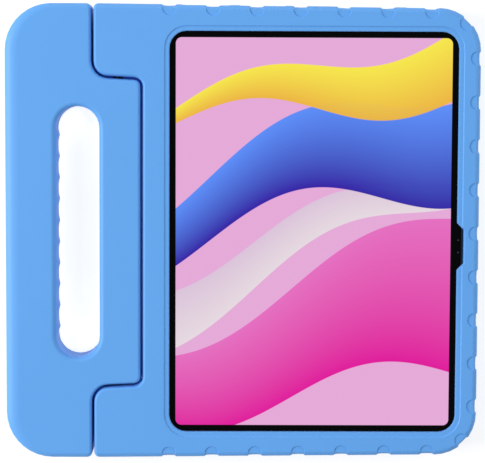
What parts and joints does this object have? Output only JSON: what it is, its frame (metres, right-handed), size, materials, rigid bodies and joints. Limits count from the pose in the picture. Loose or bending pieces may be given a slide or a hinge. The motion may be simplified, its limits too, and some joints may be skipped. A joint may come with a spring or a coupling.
{
  "type": "kids tablet case",
  "caption": "Blue moulded foam children's case round a tablet, with a pivoting carry handle at one side that swings back as a stand.",
  "frame": {"origin": "middle of the outline, on the plane that the case's back lies on", "axes": "+Z is the way the screen faces, +X runs from the handle to the far side, +Y to the tablet's end with the power button"},
  "size_m": [0.2868, 0.2758, 0.025],
  "materials": {
    "foam": "satin moulded closed-cell foam",
    "hinge_plastic": "moulded hard plastic",
    "tablet_metal": "fine blasted metal",
    "screen_glass": "polished glass, black behind its border",
    "camera_glass": "polished dark lens",
    "display": "laminated display",
    "cell_wrap": "battery wrap",
    "board": "circuit board",
    "grille": "perforated grille"
  },
  "bodies": {
    "case": {"case_shell": "foam", "hinge_bush_top": "hinge_plastic", "hinge_bush_bottom": "hinge_plastic", "tablet_housing": "tablet_metal", "cover_glass": "screen_glass", "display_panel": "display", "battery_left": "cell_wrap", "battery_right": "cell_wrap", "logic_board": "board", "front_camera": "camera_glass", "light_sensor": "camera_glass", "rear_camera_ring": "tablet_metal", "rear_camera_lens": "camera_glass", "port_shell": "tablet_metal", "port_tongue": "grille", "top_speaker_left": "grille", "top_speaker_right": "grille", "bottom_speaker_left": "grille", "bottom_speaker_right": "grille"},
    "handle": {"handle": "foam", "hinge_pin_top": "hinge_plastic", "hinge_pin_bottom": "hinge_plastic"},
    "power_button": {"power_button": "tablet_metal"},
    "volume_up_button": {"volume_up_button": "tablet_metal"},
    "volume_down_button": {"volume_down_button": "tablet_metal"}
  },
  "joints": [
    {"name": "handle_turn", "type": "hinge", "parent": "case", "child": "handle", "pos_m": [-0.07585, 0, 0.01], "axis": [0, -1, 0], "range_deg": [0, 115]},
    {"name": "power_press", "type": "slide", "parent": "case", "child": "power_button", "axis": [0, -1, 0], "range_m": [0, 0.0003], "stiffness_N_per_m": 1500, "springref_m": -0.0003},
    {"name": "volume_up_press", "type": "slide", "parent": "case", "child": "volume_up_button", "axis": [0, -1, 0], "range_m": [0, 0.0003], "stiffness_N_per_m": 1500, "springref_m": -0.0003},
    {"name": "volume_down_press", "type": "slide", "parent": "case", "child": "volume_down_button", "axis": [0, -1, 0], "range_m": [0, 0.0003], "stiffness_N_per_m": 1500, "springref_m": -0.0003}
  ]
}
